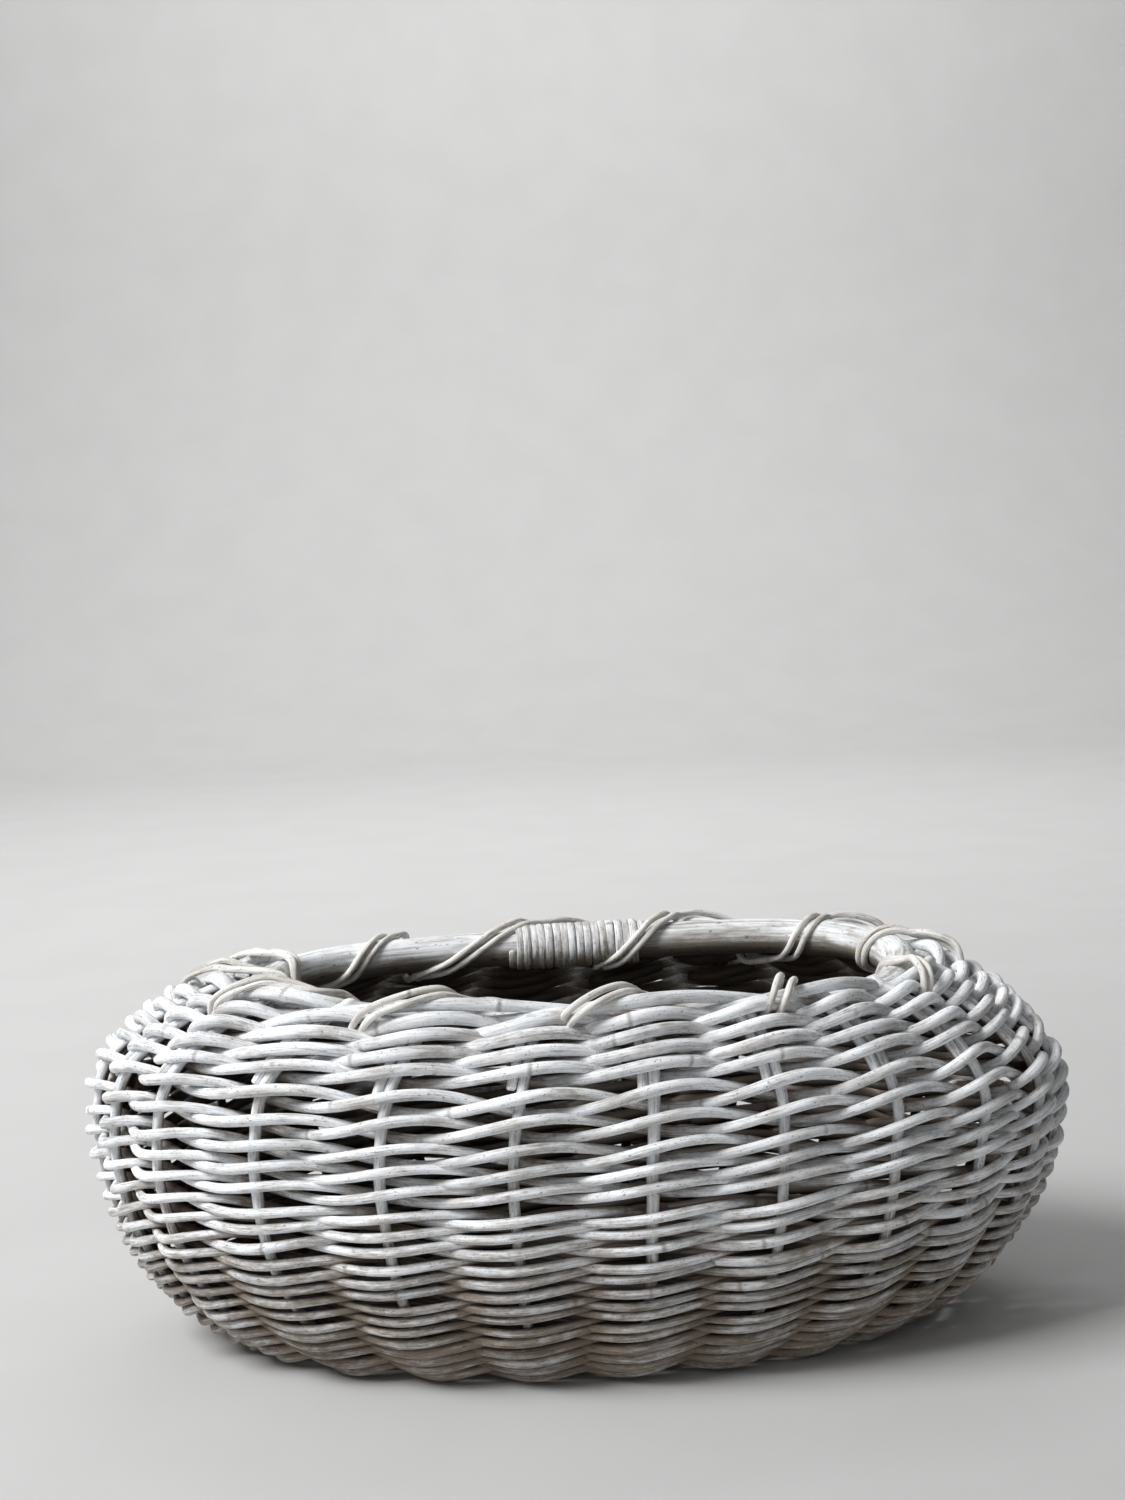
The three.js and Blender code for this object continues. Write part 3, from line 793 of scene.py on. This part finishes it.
def lashing_stops(wall, hoop, canes, shape):
    """Points that the lashing passes in each wrap, each with the canes' distance: out through a
    slot under the border, over the top row, down the hoop's inner side and under it to the next
    slot. Places on the wall are shares of the lean and of the height over the slot."""
    space = TURN / STAKES
    slot = row_height(shape.rows - shape.border_rows - 0.5, wall, shape.rows)
    thick = canes.stake / 2 + canes.weaver_high + canes.lashing / 2
    binding = 40 * MM
    stops = []
    for wrap, (shift, lean, fall, loose, spread) in enumerate(LASHING_WRAPS):
        hole = (2 * wrap + 2) * space - math.pi / 2 + math.radians(shift)

        def on_wall(share, up, off, lift=0.0):
            theta = np.array(hole + share * lean * 2 * space)
            point, _, out = wall.frame(theta, np.array(slot + up * (wall.length - slot)))
            return [*(point + off * out + [0, 0, lift]), spread]

        def round_hoop(degrees, extra):
            down = (degrees - HOOP_STOPS[0]) / (HOOP_STOPS[-1] - HOOP_STOPS[0])
            share = 0.25 * lean + 0.4 * fall + fall * down
            theta, turn = np.array(hole + share * 2 * space), math.radians(degrees)
            bound = math.sin(theta) > 0 and abs(hoop.a * math.cos(theta)) < binding
            r = hoop.radius + canes.lashing / 2 + extra * MM
            r += canes.binding_thickness if bound else 0
            point = hoop.point(theta) + r * math.cos(turn) * hoop.out(theta)
            return [*(point + [0, 0, r * math.sin(turn)]), spread]

        crest = round_hoop(HOOP_STOPS[0], 0.3 + 0.6 * loose)
        clear = thick + 3.0 * (spread - 1.2) * MM
        ridge = on_wall(0.34, 1.0, 0.2 * thick)
        ridge[2] += (7.6 + 0.25 * loose) * MM
        stops += [
            on_wall(-0.04, 0.0, -0.9 * thick), on_wall(0.0, 0.1, 0.2 * thick),
            on_wall(0.05, 0.35, clear + 1.2 * MM), on_wall(0.13, 0.7, clear + 2.0 * MM),
            on_wall(0.24, 1.0, clear - 0.1 * thick, (2.0 + 0.5 * loose) * MM), ridge, crest]
        stops += [round_hoop(degrees, 0.6 * loose) for degrees in HOOP_STOPS[1:]]
    return np.array(stops)


class RimLashing(bpy.types.Operator):
    """Lash the hoop to the border with a pair of thin canes"""
    bl_idname = "rattan.rim_lashing"
    bl_label = "Rim lashing"

    def execute(self, context):
        shape, canes = scene_part("shape"), scene_part("canes")
        wall, hoop = basket_wall(), Hoop(canes)
        material = cane_material("washed_lashing", cover=0.62, rings=0.23, wash="lashing")
        stops = lashing_stops(wall, hoop, canes, shape)
        route = smooth_path(stops, step=0.8 * MM, width=4.0 * MM)
        path, spread = route[:, :3], route[:, 3:]
        theta = np.arctan2(path[:, 1] / hoop.b, (path[:, 0] - hoop.SHIFT) / hoop.a)
        core = (hoop.point(theta) + wall.point(theta, np.full_like(theta, wall.length))) / 2
        tangent = unit(np.gradient(path, axis=0))
        away, level = path - core, hoop.out(theta)
        away = np.sum(away * level, -1, keepdims=True) * level + away * [0, 0, 1]
        out = unit(np.cross(np.cross(tangent, away), tangent))
        beside = np.cross(tangent, out) * spread * canes.lashing * 0.56
        for letter, sign in (("a", -1), ("b", 1)):
            cane = sweep(path + sign * beside, out, canes.lashing / 2, CANE_SIDES, 7.0 * sign,
                         tone=0.5 + 0.15 * sign)
            make_piece(f"rim_lashing_cane_{letter}", [cane], material,
                       [f"rim_lashing_{letter}"])
        return {"FINISHED"}


def stake_path(wall, hoop, theta, canes):
    """One upright from the base ring to the rim. Near the basket's ends its tip is turned in to
    the hoop; elsewhere it stops under the top row."""
    s = np.linspace(0, wall.length, 110)
    near_end, tip = 0.6, 9
    path, up, out = wall.frame(np.full_like(s, theta), s)
    path = path + out * (STAKE_OUT * smoothstep(20 * MM, 60 * MM, s))[:, None]
    if abs(math.cos(theta)) < near_end:
        return path[s < wall.length - canes.weaver_high]
    bend = path[-1] + up[-1] * canes.weaver_high * 0.5
    axis = hoop.point(np.array(math.atan2(bend[1] / hoop.b, bend[0] / hoop.a)))
    seat = axis + unit(bend - axis) * (hoop.radius + canes.stake * 0.3)
    turned = np.array([path[-tip], path[-1], bend, seat])
    return np.concatenate([path[:-tip], smooth_path(turned, step=0.9 * MM, width=1.8 * MM)])


def upright_painted_shade(facing):
    """Painted shade on an upright's surface that faces out of the basket by -1 to 1: full on the
    inner side, none on the outer.
    """
    return 1 - smoothstep(-0.75, 0.05, facing)


class FrameCanes(bpy.types.Operator):
    """Bend the frame canes: up one side, across the base and up the other side"""
    bl_idname = "rattan.frame_canes"
    bl_label = "Frame canes"

    def execute(self, context):
        shape, canes = scene_part("shape"), scene_part("canes")
        round_size = np.array([shape.belly_length, shape.belly_width, 2 * shape.belly_height])
        wall, hoop = basket_wall(), Hoop(canes)
        material = cane_material("washed_frame_cane", cover=0.62, rings=0.21)
        for number, node in enumerate(FRAME_CANES):
            rng = np.random.default_rng(300 + number)
            theta = TURN * (number + 0.5) / STAKES
            rising = stake_path(wall, hoop, theta, canes)
            falling = stake_path(wall, hoop, -theta, canes)[::-1]
            across = np.linspace(falling[-1], rising[0], 60)[1:-1]
            across[:, 2] += BASE_LIFT * np.sin(np.linspace(0, math.pi, len(across))) ** 0.5
            path = np.concatenate([falling, across, rising])
            wobble = 0.35 * MM * waves(np.arange(len(path)), [53.0, 31.0, 17.0], 310 + number)
            path[:, 0] += wobble
            outward = unit((path - [0, 0, shape.belly_height]) / round_size ** 2)
            radius = canes.stake / 2 * rng.normal(1, 0.04)
            # Frame canes take the darker half of the tone range: a greyer cane that also stands in
            # for shade on the uprights (painted shade).
            cane = sweep(path, [1.0, 0.0, 0.0], radius, CANE_SIDES, rng.uniform(0, 40),
                         tone=rng.uniform(0.0, 0.5))
            # Painted shade on the side of each frame cane that faces into the basket.
            away = cane["points"] - at_ends(path)[:, None]
            facing = np.sum(away * at_ends(outward)[:, None], -1) / radius
            cane["painted_shade"] = upright_painted_shade(facing)
            make_piece(f"frame_cane_{number + 1:02d}_bent", [cane], material, [node])
        return {"FINISHED"}


class LinerCanes(bpy.types.Operator):
    """Push a short liner cane in beside each upright, from the belly to the rim"""
    bl_idname = "rattan.liner_canes"
    bl_label = "Liner canes"

    def execute(self, context):
        canes, wall = scene_part("canes"), basket_wall()
        material = cane_material("washed_liner", cover=0.62, rings=0.21)
        made = []
        for number in range(STAKES):
            rng = np.random.default_rng(400 + number)
            start = LINER_FOOT + rng.uniform(-2, 2) * MM
            s = np.linspace(start, wall.length - canes.weaver_high, 40)
            theta = np.full_like(s, TURN * (number + 0.5) / STAKES)
            point, up, out = wall.frame(theta, s)
            beside = np.cross(up, out) * (-1 if math.sin(theta[0]) < 0 else 1)
            path = point + beside * (canes.stake + canes.liner) * 0.5 + out * STAKE_OUT
            cane = sweep(path, out, canes.liner / 2, CANE_SIDES, rng.uniform(0, 40),
                         tone=rng.uniform(0.3, 0.9))
            # Painted shade on the side of each liner that faces into the basket.
            cane["painted_shade"] = upright_painted_shade(cane["grain"][..., 1] / (canes.liner / 2))
            made.append(cane)
        make_piece("liner_canes", made, material, [])
        return {"FINISHED"}


def ring_cane(wall, canes):
    """The cane round the inside of the foot: a level ellipse that rests on the frame canes."""
    turn = np.linspace(0, TURN, 400)
    a, b = wall.base[:2] - RING_IN
    height = np.full_like(turn, wall.base[2] + canes.stake / 2 + RING_RADIUS)
    path = np.stack([a * np.cos(turn), b * np.sin(turn), height], -1)
    cane = sweep(path, [0.0, 0.0, 1.0], RING_RADIUS, CANE_SIDES, tone=0.4)
    # Painted shade: the ring lies inside the foot and is painted almost fully in the shade colour.
    cane["painted_shade"] = np.full(cane["tone"].shape, 0.9)
    return cane


class BaseWeave(bpy.types.Operator):
    """Weave the bottom: lengthwise canes over and under the frame canes, and a ring cane"""
    bl_idname = "rattan.base_weave"
    bl_label = "Base weave"

    def execute(self, context):
        canes, wall = scene_part("canes"), basket_wall()
        material = cane_material("raw_base_cane", cover=0.25, rings=0.26)
        angles = TURN * (np.arange(STAKES // 2) + 0.5) / STAKES
        crossings = np.sort(wall.base[0] * np.cos(angles))
        count = np.arange(len(crossings))
        reach = (canes.stake + canes.base) / 2
        edge, lane_gap, beyond = wall.base[1] - LANES_IN, 1.08, 3 * MM
        side_lanes = int(edge / (lane_gap * canes.base))
        lanes = np.linspace(-edge, edge, 2 * side_lanes + 1)
        boxes = [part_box(node) for node in BASE_CANES]
        middles = np.array([(low.y + high.y) / 2 for low, high in boxes])
        nearest = np.argmin(np.abs(lanes[:, None] - middles), axis=1)
        for number, node in enumerate(BASE_CANES):
            made = []
            for lane in np.flatnonzero(nearest == number):
                rng = np.random.default_rng(500 + lane)
                y = lanes[lane]
                half = wall.base[0] - LANE_ENDS_IN
                half = half * math.sqrt(1 - (y / (edge + beyond)) ** 2)
                x = np.linspace(-half, half, 170)
                swing = np.pi * (np.interp(x, crossings, count) + lane)
                z = wall.base[2] + BASE_LIFT + reach * np.cos(swing)
                sway = 0.3 * MM * waves(x, [0.13, 0.07], 520 + lane)
                path = np.stack([x, np.full_like(x, y) + sway, z], -1)
                cane = sweep(path, [0.0, 0.0, 1.0], canes.base / 2, CANE_SIDES,
                             rng.uniform(0, 40), tone=rng.uniform(0.1, 0.8))
                # Painted shade over the base canes, strongest on the upper side that faces into
                # the basket.
                cane["painted_shade"] = 0.6 + 0.4 * cane["grain"][..., 1] / (canes.base / 2)
                made.append(cane)
            make_piece(f"{node}_band", made, material, [node])
        make_piece("base_ring_cane", [ring_cane(wall, canes)], material, [])
        return {"FINISHED"}


def floor_surface(finish):
    """The studio floor: a level sheet that turns up into a backdrop by a quarter circle."""
    near, far, bend, top, half = -3.0, 2.6, 1.2, 3.0, 5.0
    turn = np.linspace(0, math.pi / 2, 24)
    y = np.concatenate([[near], far + bend * np.sin(turn), [far + bend]])
    z = np.concatenate([[0], bend * (1 - np.cos(turn)), [top]])
    x = np.array([-half, half])
    points = np.stack([np.tile(x, len(y)), np.repeat(y, 2), np.repeat(z, 2)], -1)
    i = 2 * np.arange(len(y) - 1)[:, None]
    faces = i + np.array([0, 1, 3, 2])
    mesh = bpy.data.meshes.new("studio_floor")
    mesh.from_pydata(points.tolist(), [], faces.tolist())
    mesh.shade_smooth()
    material = bpy.data.materials.new("studio_floor")
    material.use_nodes = True
    s = Shader(material.node_tree)
    place = s.node("ShaderNodeTexCoord").outputs["Object"]
    mottle = s.noise(place, (9, 9, 9), 3.0, 0.5)
    tint = s.mix(s.ramp(mottle, 0.3, 0.7), opaque(finish.floor),
                 opaque([c * 0.97 for c in finish.floor]))
    shader = s.node("ShaderNodeBsdfPrincipled", {"Base Color": tint, "Roughness": 0.9})
    s.node("ShaderNodeOutputMaterial", {"Surface": shader.outputs[0]})
    mesh.materials.append(material)
    floor = new_object("studio_floor", mesh)


def soft_light(name, place, target, size, power):
    """A square area light at a place, turned to a target."""
    lamp = bpy.data.lights.new(name, "AREA")
    lamp.shape = "SQUARE"
    lamp.size = size
    lamp.energy = power
    made = new_object(name, lamp)
    made.location = place
    made.rotation_euler = (Vector(target) - Vector(place)).to_track_quat("-Z", "Y").to_euler()


def photo_camera(settings):
    """The camera at the photograph's viewing angle: it looks along +Y, down by the pitch and
    tipped by the roll, and goes round the basket by the yaw."""
    pitch, roll = settings.pitch, settings.roll
    level = Vector((1, 0, 0))
    above = Vector((0, math.sin(pitch), math.cos(pitch)))
    forward = Vector((0, math.cos(pitch), -math.sin(pitch)))
    right = math.cos(roll) * level - math.sin(roll) * above
    up = math.sin(roll) * level + math.cos(roll) * above
    place = Vector((0, -settings.distance, settings.height))
    axes = Matrix((right, up, -forward)).transposed().to_4x4()
    data = bpy.data.cameras.new("photo_camera")
    data.sensor_width = 36.0
    data.lens = settings.lens
    camera = new_object("photo_camera", data)
    turn = Matrix.Rotation(-settings.yaw, 4, "Z")
    camera.matrix_world = turn @ Matrix.Translation(place) @ axes
    bpy.context.scene.camera = camera


class Stage(bpy.types.Operator):
    """Set up the camera, the floor and the soft light"""
    bl_idname = "rattan.stage"
    bl_label = "Stage"

    def execute(self, context):
        scene = context.scene
        settings, finish = scene_part("stage"), scene_part("finish")
        scene.view_settings.view_transform = "Standard"
        photo_camera(settings)
        floor_surface(finish)
        soft_light("key_light", KEY_PLACE, KEY_TARGET, settings.key_size, settings.key_power)
        soft_light("backdrop_light", BACKDROP_PLACE, BACKDROP_TARGET, settings.backdrop_size,
                   settings.backdrop_power)
        world = bpy.data.worlds.new("studio_world")
        scene.world = world
        world.use_nodes = True
        s = Shader(world.node_tree)
        way = s.node("ShaderNodeTexCoord").outputs["Generated"]
        side = s.node(
            "ShaderNodeVectorMath", {0: way, 1: Vector(KEY_PLACE).normalized()},
            operation="DOT_PRODUCT").outputs["Value"]
        glow = s.ramp(side, -0.2, 1.0, 0.02, settings.fill)
        light = s.node("ShaderNodeBackground", {"Color": (1, 1, 1, 1), "Strength": glow})
        seen = s.node("ShaderNodeBackground", {"Color": (0.9, 0.9, 0.9, 1), "Strength": 1.0})
        path = s.node("ShaderNodeLightPath").outputs
        ray = s.math("MAXIMUM", path["Is Camera Ray"], path["Is Glossy Ray"])
        ray = s.math("MAXIMUM", ray, path["Is Transmission Ray"])
        both = s.node("ShaderNodeMixShader", {0: ray, 1: light.outputs[0], 2: seen.outputs[0]})
        s.node("ShaderNodeOutputWorld", {"Surface": both.outputs[0]})
        return {"FINISHED"}


OPERATORS = (
    Stage, FrameCanes, LinerCanes, BaseWeave, WallWeave, BorderWeave, RimHoop, ScarfBinding,
    RimLashing)
SETTINGS = (
    ("rattan_shape", BasketShape), ("rattan_canes", CaneSizes), ("rattan_finish", Finish),
    ("rattan_stage", StageSettings))


class BasketPanel(bpy.types.Panel):
    """The basket's operators and settings"""
    bl_idname = "VIEW3D_PT_rattan_basket"
    bl_label = "Rattan basket"
    bl_space_type = "VIEW_3D"
    bl_region_type = "UI"
    bl_category = "Basket"

    def draw(self, context):
        for operator in OPERATORS:
            self.layout.operator(operator.bl_idname)
        for name, group in SETTINGS:
            box = self.layout.box()
            for key in group.__annotations__:
                box.prop(getattr(context.scene, name), key)


CLASSES = (*(group for _, group in SETTINGS), *OPERATORS, BasketPanel)


def register():
    for cls in CLASSES:
        bpy.utils.register_class(cls)
    for name, group in SETTINGS:
        setattr(bpy.types.Scene, name, PointerProperty(type=group))


def unregister():
    for name, _ in SETTINGS:
        delattr(bpy.types.Scene, name)
    for cls in reversed(CLASSES):
        bpy.utils.unregister_class(cls)


def main():
    """Builds every piece in order."""
    register()
    for operator in OPERATORS:
        family, name = operator.bl_idname.split(".")
        getattr(getattr(bpy.ops, family), name)()


if __name__ == "__main__":
    main()
